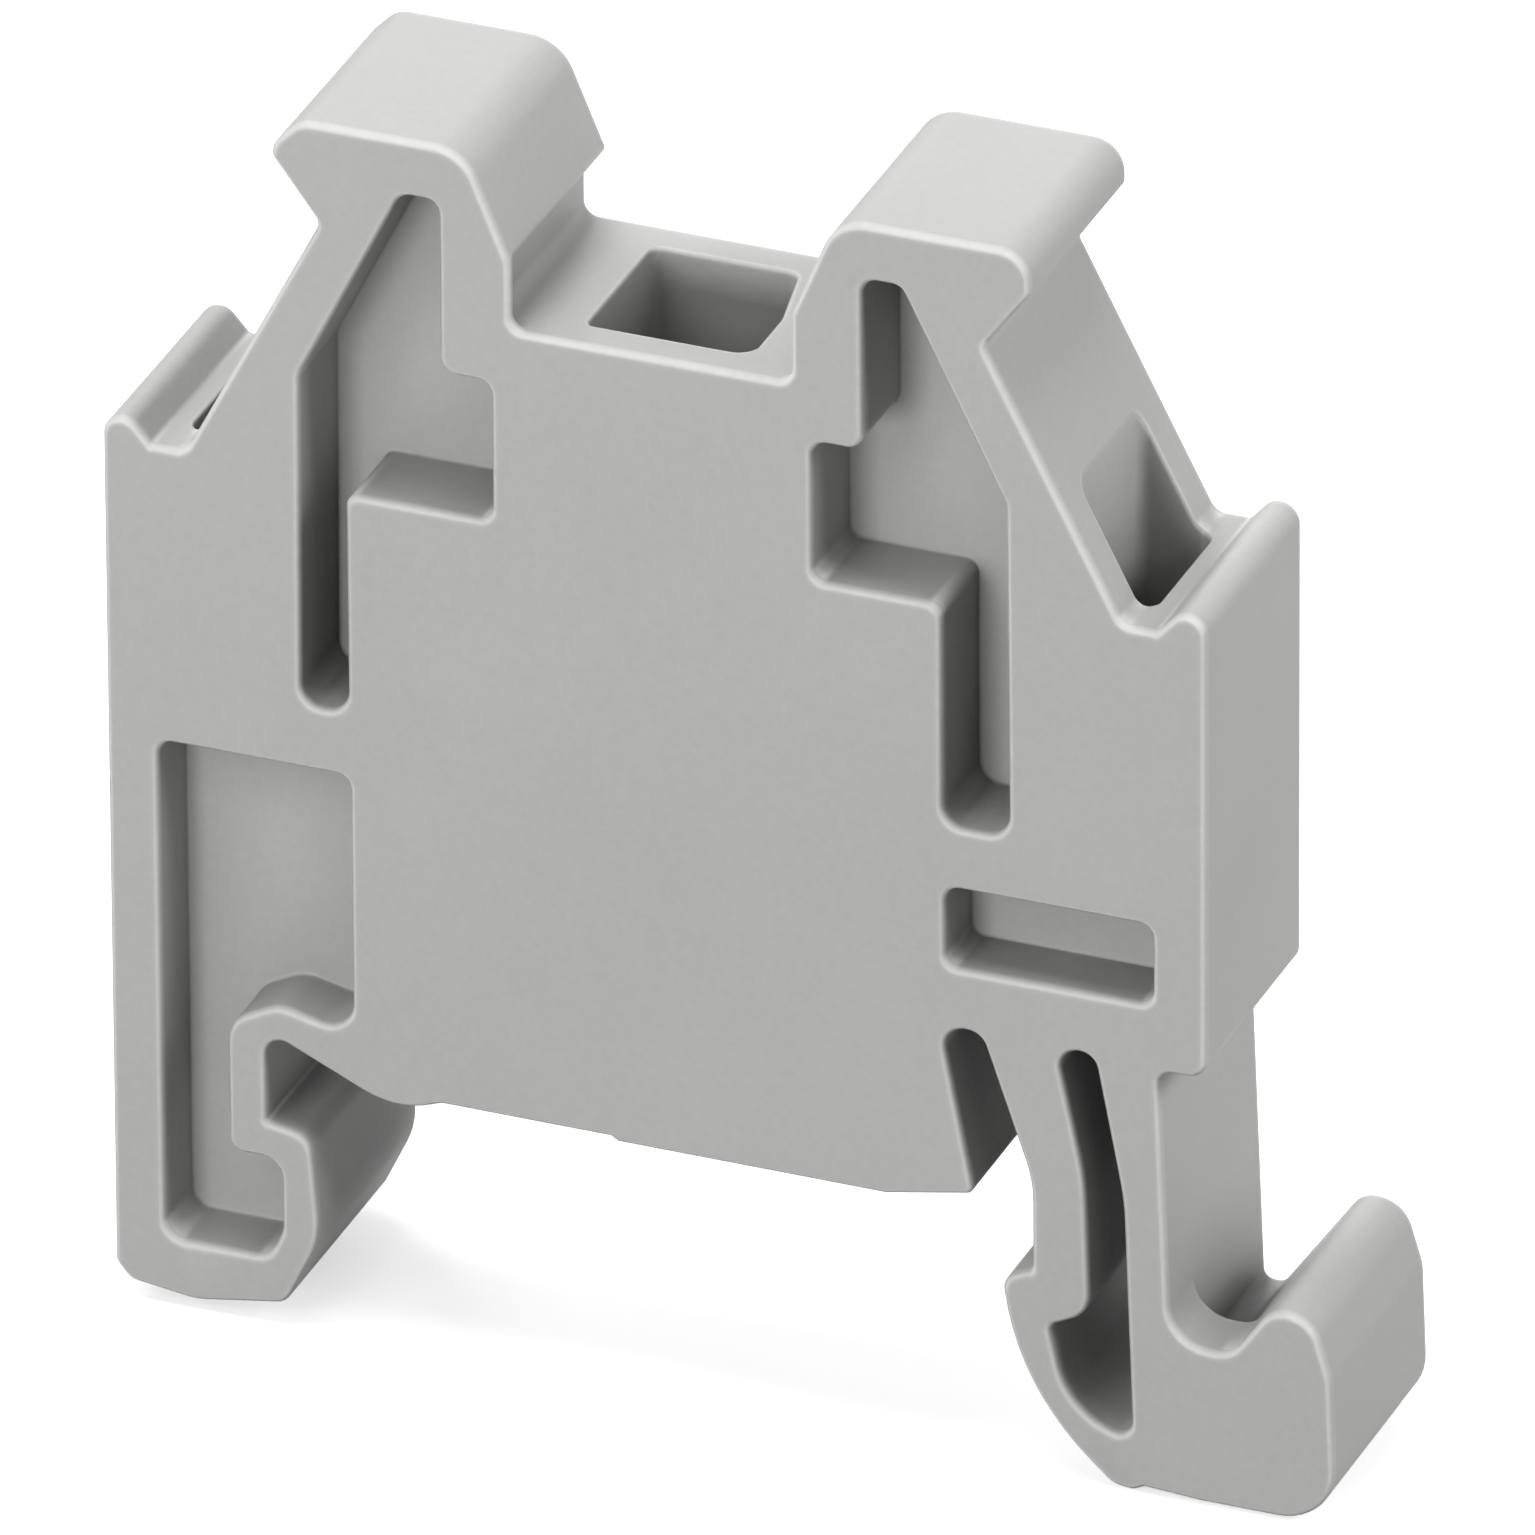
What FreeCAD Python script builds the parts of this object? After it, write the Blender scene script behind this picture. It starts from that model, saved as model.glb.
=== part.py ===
# Clip-on end stop for a 35 mm top-hat rail: one plastic moulding.
# X runs across the rail, Y along it, Z up from the face that sits on the rail.
import FreeCAD, Part
import math
import os

os.makedirs("parts", exist_ok=True)

# Rail and size along the rail
rail_width = 35.0
rail_grip = 0.2
depth = 11.2

# Block above the rail; half widths are measured from its own middle
block_shift = 0.3
block_overhang = 7.35
block_floor = 8.4
ledge_height = 29.3
ledge_width = 1.65
ridge_rise = 1.1
ridge_width = 2.1
label_seat_height = 37.9

# Two clip towers, their outward tips and the lips, each as a rise over the label seat
tower_rise = 8.1
tower_top_half = 8.35
tower_round = 2.1
neck_half = 14.9
neck_rise = 3.4
tip_half = 17.0
tip_rise = 6.2
left_tip_bevel = 1.3
right_tip_round = 1.4
lip_half = 6.35
lip_rise = 3.3
undercut = 1.0
front_rim_depth = 0.55

# Seat on the rail and the fixed hook
seat_left = -1.5
seat_right = 10.65
seat_relief = 0.2
seat_rise = 0.8
hook_recess = 1.75
hook_wall = 1.75
hook_reach = 2.4
hook_drop = 2.25
hook_bottom = -11.65

# Springy arm, latch nose and screwdriver lever
gap_height = 8.6
gap_width = 1.8
gap_lean = 2.3
arm_thickness = 6.2
arm_lean = 0.5
arm_wall = 1.6
arm_slot_width = 1.7
latch_reach = 1.4
latch_drop = 2.3
foot_bottom = -11.95
lever_right = 31.0
lever_lean = 0.25
lever_top = -2.05
lever_foot_gap = 2.75
lever_steepness = 1.42
valley_bottom = -4.6
lever_web = 3.0
lever_slot_bottom = -7.05

# Blind pockets, cut alike from both faces
upper_pocket_depth = 4.4
lower_pocket_depth = 3.2
upper_pocket_inner = 9.5
upper_pocket_outer = 16.0
upper_pocket_shelf = 28.7
upper_pocket_floor = 18.2
tower_top_wall = 2.6
label_seat_wall = 2.6
left_leg_width = 2.15
right_leg_width = 3.0
lower_pocket_top = 15.2
lower_pocket_right = -13.5
side_wall = 2.3
hook_pocket_floor = -8.85
slot_bottom = 11.5
slot_left = 13.4

# Cores pulled upwards
label_core_half = 3.7
label_core_depth = 7.4
label_core_taper = 0.8
label_core_floor = 12.0
slope_core_depth = 6.8
slope_core_behind = 2.8
slope_core_before = 0.65
slope_core_floor = 19.0

# Softened edges
rim = 0.28
mouth_rim = 0.14
corner = 0.6

front = -depth / 2
back = depth / 2
block_half = rail_width / 2 + block_overhang
slope_foot_half = block_half - ridge_width - ledge_width
tower_height = label_seat_height + tower_rise
recess_wall = -rail_width / 2
hook_inner = recess_wall + hook_reach
latch_wall = rail_width / 2 - rail_grip
arm_outer = latch_wall + arm_thickness
lever_foot = arm_outer + lever_foot_gap
lever_crest = lever_foot + (lever_top - valley_bottom) / lever_steepness


def side(sign, half):
    """X of a place half a width left (-1) or right (1) of the block's middle."""
    return block_shift + sign * half


def rounded_wire(points, y):
    """Closed wire at depth y through (x, z, corner radius) points.

    Two corners that want more than the edge between them share it."""
    count = len(points)
    corners = [FreeCAD.Vector(x, y, z) for x, z, radius in points]
    turns = []
    for i, here in enumerate(corners):
        to_last = corners[i - 1] - here
        to_next = corners[(i + 1) % count] - here
        turns.append((to_last, to_next, to_last.getAngle(to_next) / 2))
    wanted = [p[2] / math.tan(turn[2]) for p, turn in zip(points, turns)]
    arcs = []
    for i, here in enumerate(corners):
        to_last, to_next, half_angle = turns[i]
        room_last = to_last.Length / (wanted[i - 1] + wanted[i] + 1e-9)
        room_next = to_next.Length / (wanted[(i + 1) % count] + wanted[i] + 1e-9)
        reach = wanted[i] * min(1, room_last, room_next)
        if reach < 0.02:
            arcs.append((here, here, here))
            continue
        to_last.normalize()
        to_next.normalize()
        inward = to_last + to_next
        inward.normalize()
        inset = reach / math.cos(half_angle) - reach * math.tan(half_angle)
        arcs.append((here + to_last * reach, here + inward * inset, here + to_next * reach))
    edges = []
    for i, (start, middle, end) in enumerate(arcs):
        if start.distanceToPoint(end) > 0:
            edges.append(Part.Arc(start, middle, end).toShape())
        following = arcs[(i + 1) % count][0]
        if end.distanceToPoint(following) > 1e-5:
            edges.append(Part.makeLine(end, following))
    return Part.Wire(edges)


def prism(points, y_from, y_to):
    """Solid between two depths with a rounded outline."""
    face = Part.Face(rounded_wire(points, y_from))
    return face.extrude(FreeCAD.Vector(0, y_to - y_from, 0))


def shaft(points, z_from, z_to):
    """Upright solid over a rounded plan, from (x, y, corner radius) points."""
    face = Part.Face(rounded_wire(points, 0))
    face.rotate(FreeCAD.Vector(0, 0, 0), FreeCAD.Vector(1, 0, 0), -90)
    face.translate(FreeCAD.Vector(0, 0, z_from))
    return face.extrude(FreeCAD.Vector(0, 0, z_to - z_from))


def tip_top(sign):
    """Outer top corner of a tower: bevelled on the left, rounded on the right."""
    if sign > 0:
        return [(side(sign, tip_half), tower_height, right_tip_round)]
    return [
        (side(sign, tip_half), tower_height - left_tip_bevel, left_tip_bevel),
        (side(sign, tip_half - left_tip_bevel), tower_height, left_tip_bevel),
    ]


def tower_side(sign, lip_cut):
    """Ridge, ledge, slope and tower on one side, from the outer end inwards."""
    ridge_height = ledge_height + ridge_rise
    lip_height = label_seat_height + lip_rise
    lip_under = []
    if lip_cut:
        lip_under = [(side(sign, lip_half + lip_cut), lip_height - 1.2, 0.3)]
    return [
        (side(sign, block_half), ridge_height, ridge_width * 0.47),
        (side(sign, block_half - ridge_width * 0.6), ridge_height - 0.05, ridge_width * 0.4),
        (side(sign, block_half - ridge_width - 0.1), ledge_height, 0.3),
        (side(sign, slope_foot_half), ledge_height, 0.8),
        (side(sign, neck_half), label_seat_height + neck_rise, 0.5),
        (side(sign, tip_half), label_seat_height + tip_rise, 0.45),
    ] + tip_top(sign) + [
        (side(sign, tower_top_half), tower_height, tower_round),
        (side(sign, lip_half), lip_height, 0.35),
    ] + lip_under + [
        (side(sign, lip_half + lip_cut), label_seat_height, 0.7),
    ]


def hook_line():
    """Rail seat, its relief and the fixed hook, from right to left."""
    left = side(-1, block_half)
    return [
        (seat_right, 0, 0),
        (seat_left, 0, 0),
        (seat_left - 0.3, seat_relief, 0),
        (recess_wall + 7.95, seat_relief, 0.8),
        (recess_wall + 5.9, -0.58, 3.9),
        (recess_wall + 0.8, hook_recess, 0.7),
        (recess_wall, hook_recess - 0.1, 0.8),
        (recess_wall, -hook_drop, 0.15),
        (hook_inner - 0.4, -hook_drop - 0.35, 1.0),
        (hook_inner, -7.5, 4.0),
        (recess_wall + 0.75, hook_bottom + 0.7, 0.9),
        (recess_wall - 3.4, hook_bottom, 3.0),
        (left + 0.65, hook_bottom + 0.4, 0.6),
        (left, hook_bottom + 1.15, 0.5),
    ]


def valley(deep):
    """Valley between arm and lever; its deep part takes the screwdriver's blade."""
    if not deep:
        return [
            (arm_outer, valley_bottom, 1.8),
            (lever_foot, valley_bottom, 1.2),
        ]
    drop = valley_bottom - lever_slot_bottom
    wall_lean = arm_lean / (block_floor - valley_bottom)
    return [
        (arm_outer + drop * wall_lean, lever_slot_bottom, 0.5),
        (lever_foot - drop / lever_steepness, lever_slot_bottom, 0.5),
    ]


def arm_line(deep):
    """Outer wall of the arm, lever, foot, latch nose and the gap to the block."""
    lever_shoulder = lever_right - lever_lean
    nose = latch_wall - latch_reach
    return [
        (side(1, block_half), block_floor, 0.9),
        (arm_outer - arm_lean, block_floor, 0.6),
    ] + valley(deep) + [
        (lever_crest, lever_top, 1.6),
        (lever_shoulder - 0.85, lever_top, 2.0),
        (lever_shoulder, lever_top - 2.85, 2.5),
        (lever_right, foot_bottom, 2.6),
        (latch_wall + 7.5, foot_bottom, 0),
        (latch_wall + 5.0, foot_bottom + 0.15, 0),
        (latch_wall + 4.5, foot_bottom - 0.1, 0.5),
        (latch_wall + 3.6, foot_bottom, 1.0),
        (nose + 0.7, foot_bottom + 3.83, 12.0),
        (nose, -latch_drop - 0.6, 0.9),
        (latch_wall, -latch_drop, 0.25),
        (latch_wall, 1.9, 6.0),
        (latch_wall - gap_lean, gap_height, gap_width * 0.5),
        (latch_wall - gap_lean - gap_width, gap_height, gap_width * 0.5),
        (latch_wall - gap_lean - 0.3, seat_rise, 0.4),
    ]


def outline(lip_cut, deep):
    """The whole side view, clockwise, with the lips cut under by lip_cut."""
    towers = tower_side(-1, lip_cut)
    towers += reversed(tower_side(1, lip_cut))
    return towers + arm_line(deep) + hook_line()


def upper_pocket(sign, leg_width):
    """Tall blind pocket below a tower: a leg outside, a shelf, and a shoulder inside."""
    shelf_inner = label_core_half + 3.5
    pocket_top = tower_height - tower_top_wall
    shoulder = label_seat_height - label_seat_wall
    return [
        (side(sign, upper_pocket_inner), pocket_top, corner),
        (side(sign, upper_pocket_inner + 1.7), pocket_top, corner),
        (side(sign, upper_pocket_outer - 0.1), pocket_top - 9.4, corner),
        (side(sign, upper_pocket_outer), upper_pocket_floor, 1.0),
        (side(sign, upper_pocket_outer - leg_width), upper_pocket_floor, 1.0),
        (side(sign, upper_pocket_outer - leg_width), upper_pocket_shelf, corner),
        (side(sign, shelf_inner), upper_pocket_shelf, corner),
        (side(sign, shelf_inner), shoulder, corner),
        (side(sign, upper_pocket_inner), shoulder, 0.8),
    ]


def lower_pocket():
    """Blind pocket in the left leg, following the hook inside its wall."""
    left = side(-1, block_half) + side_wall
    crest = hook_recess + hook_wall
    step = recess_wall - hook_wall
    inner = hook_inner - hook_wall
    return [
        (left, lower_pocket_top, corner),
        (lower_pocket_right, lower_pocket_top, corner),
        (lower_pocket_right, crest - 0.8, 1.2),
        (recess_wall + 0.6, crest, 1.6),
        (step, crest - 1.2, 1.6),
        (step, -hook_drop - hook_wall, 0.7),
        (inner, -hook_drop - hook_wall, 0.9),
        (inner, hook_pocket_floor + 1.4, 0.9),
        (inner - 0.6, hook_pocket_floor, 0.9),
        (left, hook_pocket_floor, 0.9),
    ]


def small_slot():
    """Long blind slot above the foot."""
    right = side(1, block_half) - side_wall - 0.1
    return [
        (slot_left, lower_pocket_top + 0.1, corner),
        (right, lower_pocket_top + 0.1, corner),
        (right, slot_bottom, corner),
        (slot_left, slot_bottom, corner),
    ]


def arm_slot():
    """Slot right through the arm, widening above the foot."""
    upper = latch_wall + arm_wall - 0.5
    lower = latch_wall + arm_wall + 0.8
    return [
        (upper, gap_height, 0.85),
        (upper + arm_slot_width, gap_height, 0.85),
        (lower + arm_slot_width, 1.8, 12.0),
        (lower + arm_slot_width + 0.4, foot_bottom + 2.35, 0.8),
        (lower - 0.75, foot_bottom + 3.1, 4.5),
        (latch_wall + 0.75, -latch_drop - 2.55, 0.4),
        (lower + 0.2, -latch_drop - 1.65, 1.5),
        (lower, 2.5, 12.0),
    ]


def label_sides():
    """X of the label shaft's left and right walls at the front."""
    return side(-1, label_core_half - 0.1), side(1, label_core_half + 0.1)


def label_shaft():
    """Shaft between the lips, narrower towards the back on its right side."""
    left, right = label_sides()
    near = -label_core_depth / 2
    return shaft([
        (left, near, 0.4),
        (right, near, 0.9),
        (right, -0.2, 1.5),
        (right - label_core_taper, -near, 0.6),
        (left, -near, 0.4),
    ], label_core_floor, label_seat_height + 1)


def slope_sides(sign):
    """X of a slope shaft's two walls, the smaller first."""
    return sorted([
        side(sign, slope_foot_half - slope_core_behind),
        side(sign, slope_foot_half + slope_core_before)])


def slope_shaft(sign):
    """Shaft behind a sloping face; it also cuts a narrow slit in the ledge."""
    near, far = slope_sides(sign)
    half = slope_core_depth / 2
    return shaft([
        (near, -half, 0.6),
        (far, -half, 0.6),
        (far, half, 0.6),
        (near, half, 0.6),
    ], slope_core_floor, tower_height)


def mouth_edges(solid, sides, half_depth, z_from, z_to):
    """Edges around the mouth of a shaft, found by where they lie."""
    edges = []
    for edge in solid.Edges:
        box = edge.BoundBox
        inside = box.XMin > sides[0] - 0.01 and box.XMax < sides[1] + 0.01
        inside = inside and max(-box.YMin, box.YMax) < half_depth + 0.01
        if inside and box.ZMin > z_from and box.ZMax < z_to:
            edges.append(edge)
    return edges


def soften(solid, width):
    """Take off the edges that lie in the front and back faces."""
    edges = []
    for edge in solid.Edges:
        box = edge.BoundBox
        if box.YLength < 1e-5 and abs(abs(box.YMin) - depth / 2) < 1e-5:
            edges.append(edge)
    return solid.makeChamfer(width, edges)


rim_back = front + front_rim_depth
web_back = front + lever_web
block = prism(outline(0, False), front, rim_back).fuse([
    prism(outline(undercut, False), rim_back, web_back),
    prism(outline(undercut, True), web_back, back)])

cuts = [prism(arm_slot(), front - 1, back + 1), label_shaft(), slope_shaft(-1), slope_shaft(1)]
for pocket, reach in [
    (upper_pocket(-1, left_leg_width), upper_pocket_depth),
    (upper_pocket(1, right_leg_width), upper_pocket_depth),
    (lower_pocket(), lower_pocket_depth),
    (small_slot(), lower_pocket_depth),
]:
    cuts.append(prism(pocket, front - 1, front + reach))
    cuts.append(prism(pocket, back - reach, back + 1))

end_stop = block.cut(cuts).removeSplitter().Solids[0]
mouths = mouth_edges(
    end_stop, label_sides(), label_core_depth / 2,
    label_seat_height - 0.01, label_seat_height + 0.01)
for sign in (-1, 1):
    mouths += mouth_edges(
        end_stop, slope_sides(sign), slope_core_depth / 2,
        ledge_height - 0.5, label_seat_height)
end_stop = soften(end_stop.makeChamfer(mouth_rim, mouths), rim)
end_stop.exportStep("parts/end_stop.step")
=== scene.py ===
# %% [markdown]
# # A clip-on end stop for a top-hat rail
# The real object is a single moulding of light grey polyamide, 55 mm across
# and 11 mm thick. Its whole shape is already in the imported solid, hook, arm,
# pockets and rounded rims included. So Blender's work here is the finish, the
# light and the camera. A remodelled copy would only drift from the solid.

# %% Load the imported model
import math

import bpy
from mathutils import Matrix, Vector


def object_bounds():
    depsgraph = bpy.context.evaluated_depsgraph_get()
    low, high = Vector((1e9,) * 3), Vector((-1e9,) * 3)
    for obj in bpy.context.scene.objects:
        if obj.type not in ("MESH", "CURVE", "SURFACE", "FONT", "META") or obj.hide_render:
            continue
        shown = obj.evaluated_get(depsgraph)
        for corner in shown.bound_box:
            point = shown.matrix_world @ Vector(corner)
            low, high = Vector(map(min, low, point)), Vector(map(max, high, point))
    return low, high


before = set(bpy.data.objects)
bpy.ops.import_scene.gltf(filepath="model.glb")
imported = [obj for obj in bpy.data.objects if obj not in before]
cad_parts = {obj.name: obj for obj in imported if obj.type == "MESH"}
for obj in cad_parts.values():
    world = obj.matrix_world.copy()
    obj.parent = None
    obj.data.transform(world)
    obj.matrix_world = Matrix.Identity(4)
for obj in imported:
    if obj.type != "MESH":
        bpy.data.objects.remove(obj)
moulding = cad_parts["end_stop"]
cad_low, cad_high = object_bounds()
print("moulding", len(moulding.data.polygons), "faces")
print("box from", cad_low, "to", cad_high)

# %% [markdown]
# # Camera
# The photograph is a product shot through a long lens: parallel edges stay
# parallel in it. The direction comes from three measured vectors in the
# picture, one for each axis of the stop, which fit a view 22 degrees round to
# the right and 29 degrees above the horizon. A camera far away with a narrow
# field of view gives the same look, and no shift is needed.

# %% Place the camera
azimuth = math.radians(22.0)
elevation = math.radians(28.8)
roll = math.radians(-0.35)
camera_distance = 1.6
picture_width = 0.0645
aim = Vector((0.00324, 0.0, 0.01618))

toward = Vector((
    math.sin(azimuth) * math.cos(elevation),
    -math.cos(azimuth) * math.cos(elevation),
    math.sin(elevation),
))
level_right = Vector((math.cos(azimuth), math.sin(azimuth), 0.0))
level_up = toward.cross(level_right)
right = level_right * math.cos(roll) + level_up * math.sin(roll)
up = toward.cross(right)

camera_data = bpy.data.cameras.new("product camera")
camera_data.sensor_width = 36.0
camera_data.lens = camera_data.sensor_width * camera_distance / picture_width
camera_data.clip_start = 0.1
camera_data.clip_end = 20.0
camera = bpy.data.objects.new("product camera", camera_data)
bpy.context.collection.objects.link(camera)
camera.matrix_world = (
    Matrix.Translation(aim + toward * camera_distance)
    @ Matrix((right, up, toward)).transposed().to_4x4()
)
bpy.context.scene.camera = camera
print("lens", round(camera_data.lens), "mm at", camera_distance, "m")

# %% [markdown]
# # Shader helpers
# A material is a small graph of nodes, and a few helpers keep the later cells
# short. One adds a node and sets its properties. One maps a range of values to
# another, which is how a smooth noise becomes a slight change of colour. One
# does sums with two values, one splits a vector into its parts, and one makes
# noise.

# %% Define the helpers
def add_node(tree, kind, values=None, **properties):
    """Node of that kind, with its properties and unlinked inputs set."""
    node = tree.nodes.new(kind)
    for name, value in properties.items():
        setattr(node, name, value)
    for name, value in (values or {}).items():
        node.inputs[name].default_value = value
    return node


def remap(tree, source, low, high, to_low, to_high):
    """Output socket where low..high of source is now to_low..to_high, clamped."""
    node = add_node(tree, "ShaderNodeMapRange", {
        "From Min": low, "From Max": high, "To Min": to_low, "To Max": to_high})
    tree.links.new(source, node.inputs["Value"])
    return node.outputs["Result"]


def combine(tree, operation, first, second):
    """Output socket of a two-input sum, product or the like."""
    node = add_node(tree, "ShaderNodeMath", operation=operation)
    for socket, value in zip(node.inputs, (first, second)):
        if isinstance(value, (int, float)):
            socket.default_value = value
        else:
            tree.links.new(value, socket)
    return node.outputs[0]


def split(tree, vector):
    """Output sockets X, Y and Z of a vector."""
    node = add_node(tree, "ShaderNodeSeparateXYZ")
    tree.links.new(vector, node.inputs[0])
    return node.outputs


def noise(tree, place, scale, detail=2.0, roughness=0.5):
    """Noise value with a cell size of about one over scale, in metres."""
    node = add_node(tree, "ShaderNodeTexNoise", {
        "Scale": scale, "Detail": detail, "Roughness": roughness})
    tree.links.new(place, node.inputs["Vector"])
    return node.outputs["Fac"]


print("helpers ready")

# %% [markdown]
# # Where the edges are
# Nothing is painted on the real part, yet its small rounded edges look paler
# than its faces, so they get a painted highlight here. Bevel gives the
# direction that the surface would have if every edge were rounded off, so it
# leans away from the true direction only beside an edge. The rims of the two
# flat faces are modelled bevels, and are found by their depth and their slant
# instead.

# %% Find the edges
plastic = bpy.data.materials.new("light grey polyamide")
plastic.use_nodes = True
tree = plastic.node_tree
shader = tree.nodes["Principled BSDF"]
place = add_node(tree, "ShaderNodeTexCoord").outputs["Object"]

edge_round = 0.00032
probe_rays = 4
rounded = add_node(
    tree, "ShaderNodeBevel", {"Radius": edge_round}, samples=probe_rays,
).outputs["Normal"]
surface = add_node(tree, "ShaderNodeNewGeometry")
agreement = add_node(tree, "ShaderNodeVectorMath", operation="DOT_PRODUCT")
tree.links.new(rounded, agreement.inputs[0])
tree.links.new(surface.outputs["True Normal"], agreement.inputs[1])
leaning, agreeing = 0.90, 0.995
beside_edge = remap(tree, agreement.outputs["Value"], leaning, agreeing, 1.0, 0.0)

direction = split(tree, rounded)
half_depth = cad_high[1]
rim_starts = half_depth - 0.0005
rim_is_full = half_depth - 0.00025
from_middle = combine(tree, "ABSOLUTE", split(tree, place)["Y"], 0.0)
near_face = remap(tree, from_middle, rim_starts, rim_is_full, 0.0, 1.0)

slanted, flat = 0.94, 0.998
facing = combine(tree, "ABSOLUTE", direction["Y"], 0.0)
on_slant = remap(tree, facing, slanted, flat, 1.0, 0.0)
rim = combine(tree, "MULTIPLY", near_face, on_slant)
print("edges rounded over", edge_round * 1000, "mm")

# %% [markdown]
# # Where the deep places are
# Ambient Occlusion says how much of the open a point sees. It tells an outer
# edge from an inner corner, and it finds the deep narrow places, which are
# darker in the photograph than light alone makes them here. There the colour
# is darkened with painted shade. A pocket's floor looks straight at the front
# lamp and its walls don't, so the painted shade on the floor reaches its
# darkest value sooner.

# %% Find the deep places
sight = 0.005
openness = add_node(
    tree, "ShaderNodeAmbientOcclusion", {"Distance": sight},
    samples=probe_rays, only_local=True,
).outputs["AO"]
inner_corner, outer_edge = 0.35, 0.60
outer = remap(tree, openness, inner_corner, outer_edge, 0.0, 1.0)

# Painted shade: the colour darkens where a point sees little of the open, and more so on
# pocket floors.
painted_wall_shade_power = 0.25
floor_enclosed, darkest_painted_floor_shade = 0.65, 0.79
turned_away, face_on = 0.90, 0.99
painted_wall_shade = combine(tree, "POWER", openness, painted_wall_shade_power)
painted_floor_shade = remap(tree, openness, floor_enclosed, 1.0, darkest_painted_floor_shade, 1.0)
is_floor = remap(tree, facing, turned_away, face_on, 0.0, 1.0)
difference = combine(tree, "SUBTRACT", painted_floor_shade, painted_wall_shade)
painted_crevice_shade = combine(
    tree, "ADD", painted_wall_shade, combine(tree, "MULTIPLY", is_floor, difference))
print("depth judged over", sight * 1000, "mm")

# %% [markdown]
# # How pale the edges are
# The rims in the photograph are about equally pale all round. The lamps here
# stand above and to the right, so the painted highlight is strong on rims that
# face down or left and weak on those that face the lamps anyway. The mouths of
# the shafts get a painted highlight of their own, which gives way to the rims'
# near the flat faces. These strengths are chosen for the look, not measured on
# the plastic.

# %% Mix the edges into one mask
# These weights set how strong the painted highlight is on rims and shaft mouths.
lamps_from_x, lamps_from_z = 0.6, 0.8
unlit_below, lit_above = -0.5, 0.5
lit_rim_highlight_strength = 0.36
mouth_highlight_strength = 0.6

to_lamps = combine(
    tree, "ADD",
    combine(tree, "MULTIPLY", direction["X"], lamps_from_x),
    combine(tree, "MULTIPLY", direction["Z"], lamps_from_z))
unlit = remap(tree, to_lamps, unlit_below, lit_above, 1.0, lit_rim_highlight_strength)
mouth = combine(tree, "MULTIPLY", beside_edge, outer)
mouth = combine(
    tree, "MULTIPLY", mouth, combine(tree, "SUBTRACT", mouth_highlight_strength, near_face))
painted_highlight_mask = combine(
    tree, "MAXIMUM", combine(tree, "MULTIPLY", rim, unlit), mouth)
print("rims tinted from", lit_rim_highlight_strength, "to 1, mouths up to", mouth_highlight_strength)

# %% [markdown]
# # Moulded polyamide
# The plastic is dull and very finely grained. Its colour drifts a little over
# centimetres, and a fine speckle breaks it up. The grain is a bump of at most
# hundredths of a millimetre, and it takes the shine off the round edges.

# %% Make the polyamide
body_colour = (0.46, 0.463, 0.451, 1.0)
# The pale edge colour is a painted highlight, not a colour of the plastic.
painted_highlight_colour = (0.86, 0.86, 0.845, 1.0)
noise_low, noise_high = 0.3, 0.7

flow = noise(tree, place, 90.0, detail=3.0)
speckle = noise(tree, place, 2600.0, roughness=0.7)
grain = noise(tree, place, 5200.0, roughness=0.6)
tone = combine(
    tree, "MULTIPLY",
    remap(tree, flow, noise_low, noise_high, 0.975, 1.02),
    remap(tree, speckle, noise_low, noise_high, 0.97, 1.03))
# Painted shade from the deep places darkens the colour here.
tone = combine(tree, "MULTIPLY", tone, painted_crevice_shade)

# Painted highlight: the pale colour is mixed in along the rims and shaft mouths.
paint = add_node(tree, "ShaderNodeMix", data_type="RGBA")
for socket in paint.inputs:
    if socket.type == "RGBA":
        socket.default_value = body_colour if socket.name == "A" else painted_highlight_colour
tree.links.new(painted_highlight_mask, paint.inputs["Factor"])
painted = next(socket for socket in paint.outputs if socket.type == "RGBA")
shade = add_node(tree, "ShaderNodeVectorMath", operation="SCALE")
tree.links.new(painted, shade.inputs[0])
tree.links.new(tone, shade.inputs["Scale"])
tree.links.new(shade.outputs[0], shader.inputs["Base Color"])

dullness = remap(tree, speckle, noise_low, noise_high, 0.52, 0.62)
tree.links.new(dullness, shader.inputs["Roughness"])
bump = add_node(tree, "ShaderNodeBump", {"Strength": 0.25, "Distance": 0.00002})
tree.links.new(grain, bump.inputs["Height"])
tree.links.new(rounded, bump.inputs["Normal"])
tree.links.new(bump.outputs["Normal"], shader.inputs["Normal"])

for slot in moulding.material_slots:
    slot.material = plastic
print("polyamide on", len(moulding.material_slots), "slot")

# %% [markdown]
# # Soft rims
# On the real moulding every edge is slightly round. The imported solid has
# narrow bevels there, made of loose facets. Joined and shaded smoothly, with
# each corner's shading leaning towards the largest face that meets in it, a
# bevel reads as a small round edge and the flat faces stay flat. Only corners
# steeper than the bevels stay sharp, such as those round a pocket's floor.
# Live modifiers do all this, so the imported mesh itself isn't touched.

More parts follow.
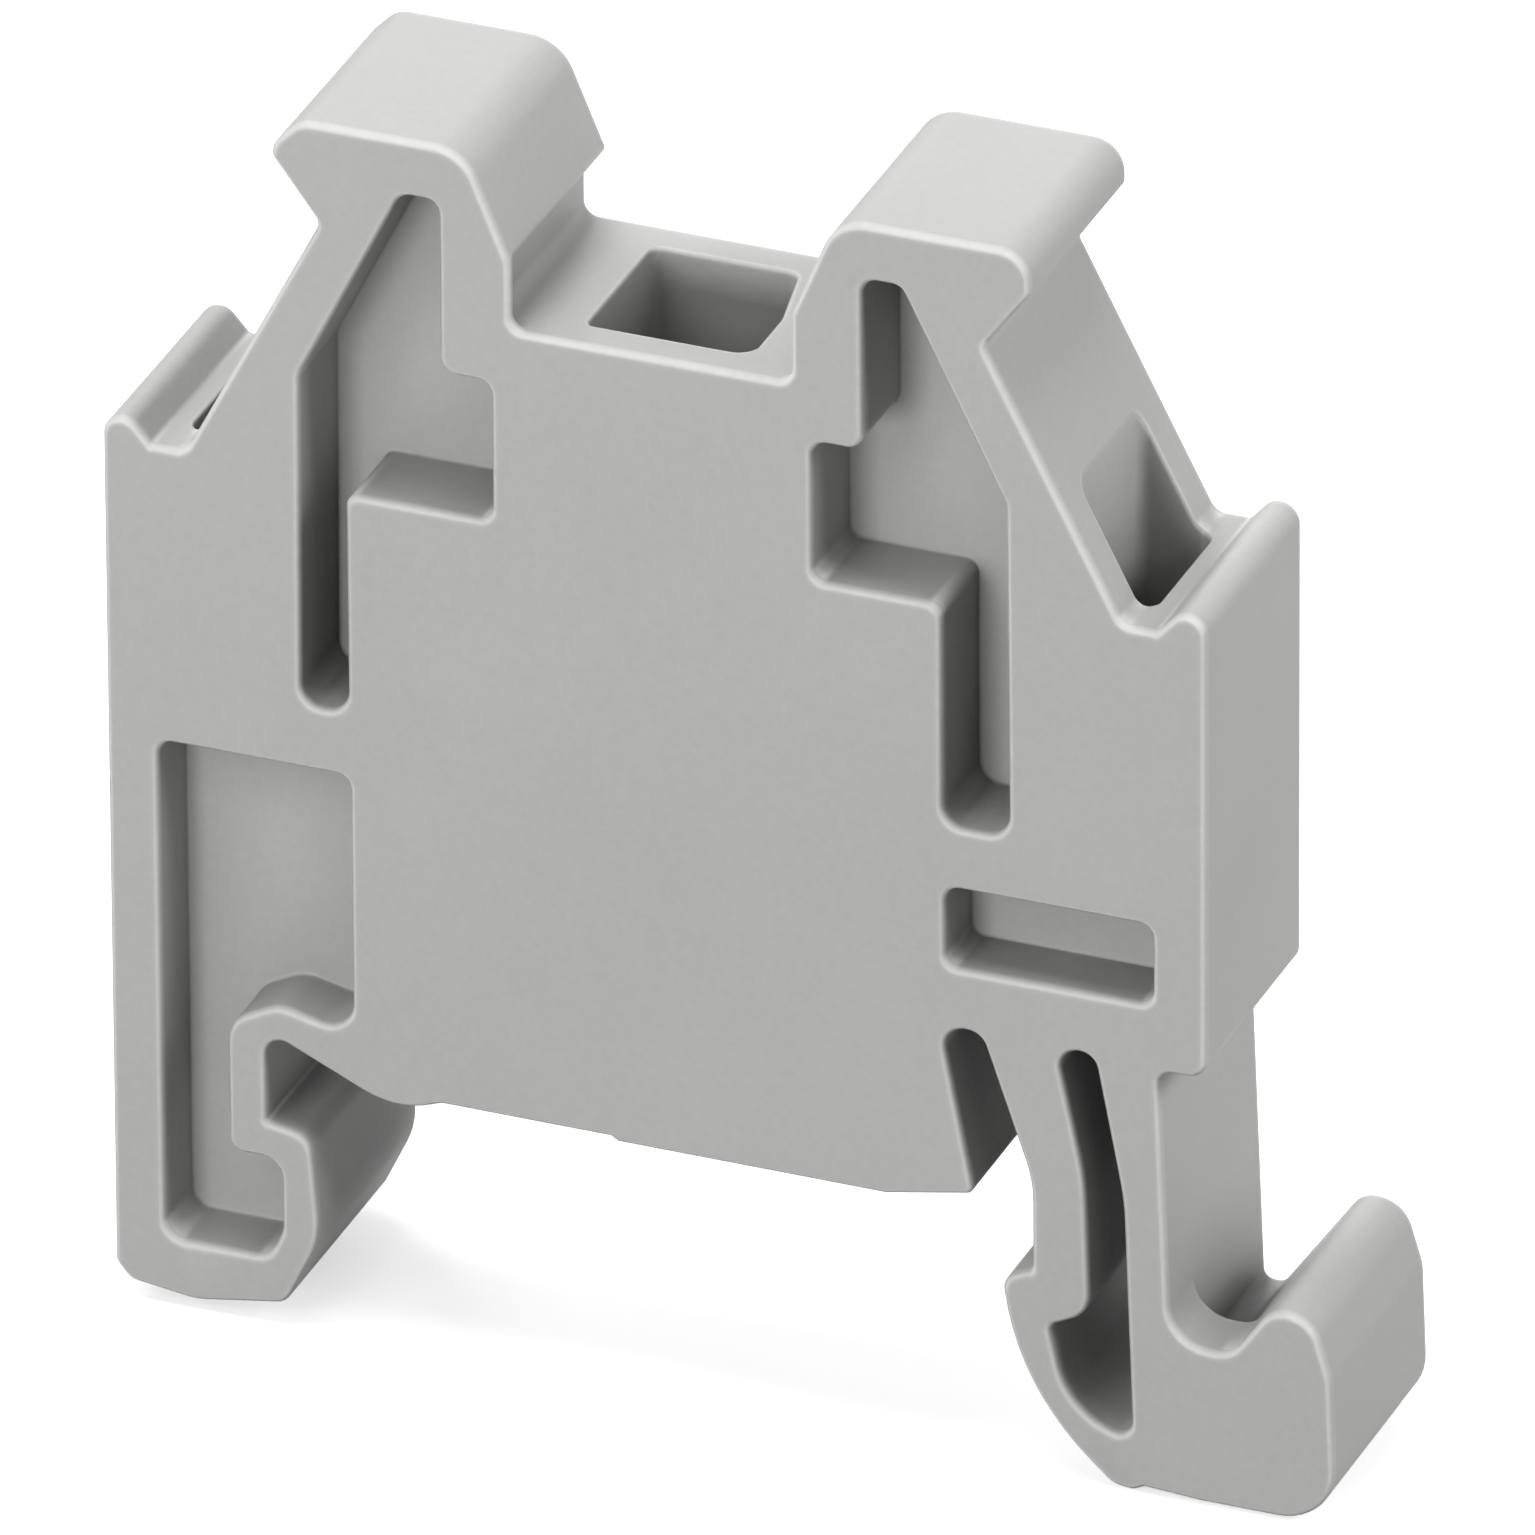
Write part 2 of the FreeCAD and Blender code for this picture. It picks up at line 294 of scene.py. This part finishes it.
# %% Make the node group that keeps steep corners sharp
steep_corner = math.radians(52.0)
corners = bpy.data.node_groups.new("sharp steep corners", "GeometryNodeTree")
for in_out in ("INPUT", "OUTPUT"):
    corners.interface.new_socket(
        "Geometry", in_out=in_out, socket_type="NodeSocketGeometry")
mesh_in = add_node(corners, "NodeGroupInput")
mesh_out = add_node(corners, "NodeGroupOutput")
edge_angle = add_node(corners, "GeometryNodeInputMeshEdgeAngle")
gentle = add_node(
    corners, "FunctionNodeCompare", data_type="FLOAT", operation="LESS_THAN")
gentle.inputs["B"].default_value = steep_corner
smooth_faces = add_node(corners, "GeometryNodeSetShadeSmooth", domain="FACE")
smooth_edges = add_node(corners, "GeometryNodeSetShadeSmooth", domain="EDGE")
corners.links.new(edge_angle.outputs["Unsigned Angle"], gentle.inputs["A"])
corners.links.new(mesh_in.outputs[0], smooth_faces.inputs["Geometry"])
corners.links.new(smooth_faces.outputs[0], smooth_edges.inputs["Geometry"])
corners.links.new(gentle.outputs["Result"], smooth_edges.inputs["Shade Smooth"])
corners.links.new(smooth_edges.outputs[0], mesh_out.inputs[0])
print("corners above", round(math.degrees(steep_corner)), "degrees stay sharp")

# %% Soften the shading of the rims
same_point = 0.000001
still_flat = math.radians(0.5)
lean_to_large_faces = 80

join = moulding.modifiers.new("join facets", "WELD")
join.merge_threshold = same_point
flatten = moulding.modifiers.new("one face per flat", "DECIMATE")
flatten.decimate_type = "DISSOLVE"
flatten.angle_limit = still_flat
keep_sharp = moulding.modifiers.new("sharp steep corners", "NODES")
keep_sharp.node_group = corners
lean = moulding.modifiers.new("rounded rims", "WEIGHTED_NORMAL")
lean.mode = "FACE_AREA"
lean.weight = lean_to_large_faces
lean.keep_sharp = True
print("modifiers", [m.name for m in moulding.modifiers])

# %% [markdown]
# # Studio
# The photograph has a white ground and dark, crisp pockets. A bright room
# would fill the pockets with light, so the room is almost dark to the object
# and soft boxes do the work. The ground is pale paper with a glow that only
# the camera and clear reflections see. That makes it white, and it still takes
# a faint shadow.

# %% Define the paper
def seen_directly(tree):
    """1 for rays from the camera, a reflection or a clear material, else 0."""
    path = add_node(tree, "ShaderNodeLightPath").outputs
    seen = combine(tree, "MAXIMUM", path["Is Camera Ray"], path["Is Glossy Ray"])
    return combine(tree, "MAXIMUM", seen, path["Is Transmission Ray"])


def paper_material(seen_colour, bounce_colour, glow_strength):
    """Paper that is white when seen and duller to the light that bounces off it."""
    paper = bpy.data.materials.new("studio paper")
    paper.use_nodes = True
    nodes = paper.node_tree
    nodes.nodes.clear()
    seen = seen_directly(nodes)
    diffuse = add_node(nodes, "ShaderNodeBsdfDiffuse")
    colour = remap(nodes, seen, 0.0, 1.0, bounce_colour, seen_colour)
    nodes.links.new(colour, diffuse.inputs["Color"])
    glow = add_node(nodes, "ShaderNodeEmission", {"Color": (1.0, 1.0, 1.0, 1.0)})
    strength = combine(nodes, "MULTIPLY", seen, glow_strength)
    nodes.links.new(strength, glow.inputs["Strength"])
    both = add_node(nodes, "ShaderNodeAddShader")
    nodes.links.new(diffuse.outputs[0], both.inputs[0])
    nodes.links.new(glow.outputs[0], both.inputs[1])
    output = add_node(nodes, "ShaderNodeOutputMaterial")
    nodes.links.new(both.outputs[0], output.inputs["Surface"])
    return paper


print("paper ready")

# %% Add the ground and the world
ground_half = 4.0
ground_corners = [(-1, -1), (1, -1), (1, 1), (-1, 1)]
ground_mesh = bpy.data.meshes.new("ground")
ground_mesh.from_pydata(
    [(x * ground_half, y * ground_half, cad_low[2]) for x, y in ground_corners],
    [], [(0, 1, 2, 3)])
ground = bpy.data.objects.new("ground", ground_mesh)
ground.data.materials.append(
    paper_material(seen_colour=0.8, bounce_colour=0.08, glow_strength=0.62))
bpy.context.collection.objects.link(ground)

room_level = 0.015
world = bpy.data.worlds.new("white room")
bpy.context.scene.world = world
world.use_nodes = True
room = world.node_tree
background = room.nodes["Background"]
background.inputs["Color"].default_value = (1.0, 1.0, 1.0, 1.0)
brightness = remap(room, seen_directly(room), 0.0, 1.0, room_level, 1.0)
room.links.new(brightness, background.inputs["Strength"])
print("ground at", round(cad_low[2] * 1000, 2), "mm, room level", room_level)

# %% [markdown]
# # Soft boxes
# The tops are the palest faces in the photograph, so a strong lamp hangs
# overhead. The front face gets nearly as much from a lamp level with it, which
# leaves the shafts dark, and a small one higher up favours its upper half. Two
# at the right light the outer right walls and the slopes but can't reach down
# into the pockets. The last two, at the left and behind, keep the hidden sides
# readable when the stop is turned round. The strengths of the lamps were first
# fitted to the grey levels of the photograph and then changed.

# %% Add the soft boxes
def soft_box(name, place_at, size, watts):
    """Square area lamp that faces the middle of the stop."""
    lamp = bpy.data.lights.new(name, "AREA")
    lamp.shape = "SQUARE"
    lamp.size = size
    lamp.energy = watts
    box = bpy.data.objects.new(name, lamp)
    bpy.context.collection.objects.link(box)
    box.location = place_at
    backwards = Vector(place_at) - aim
    box.rotation_mode = "QUATERNION"
    box.rotation_quaternion = backwards.to_track_quat("Z", "Y")


soft_box("overhead", (-0.06, 0.0, 0.50), size=0.30, watts=1.48)
soft_box("front", (-0.05, -0.50, 0.05), size=0.22, watts=1.9)
soft_box("front high", (-0.06, -0.20, 0.18), size=0.12, watts=0.14)
soft_box("right", (0.50, 0.0, 0.10), size=0.20, watts=0.3)
soft_box("right high", (0.42, 0.0, 0.30), size=0.20, watts=1.28)
soft_box("left back", (-0.30, 0.25, 0.30), size=0.20, watts=0.6)
soft_box("back", (-0.12, 0.50, 0.06), size=0.22, watts=1.3)

# %% [markdown]
# Colour view
# The picture uses Blender's plain Standard view, so that a colour comes out
# as it was written.

# %% Set the view
bpy.context.scene.view_settings.view_transform = "Standard"
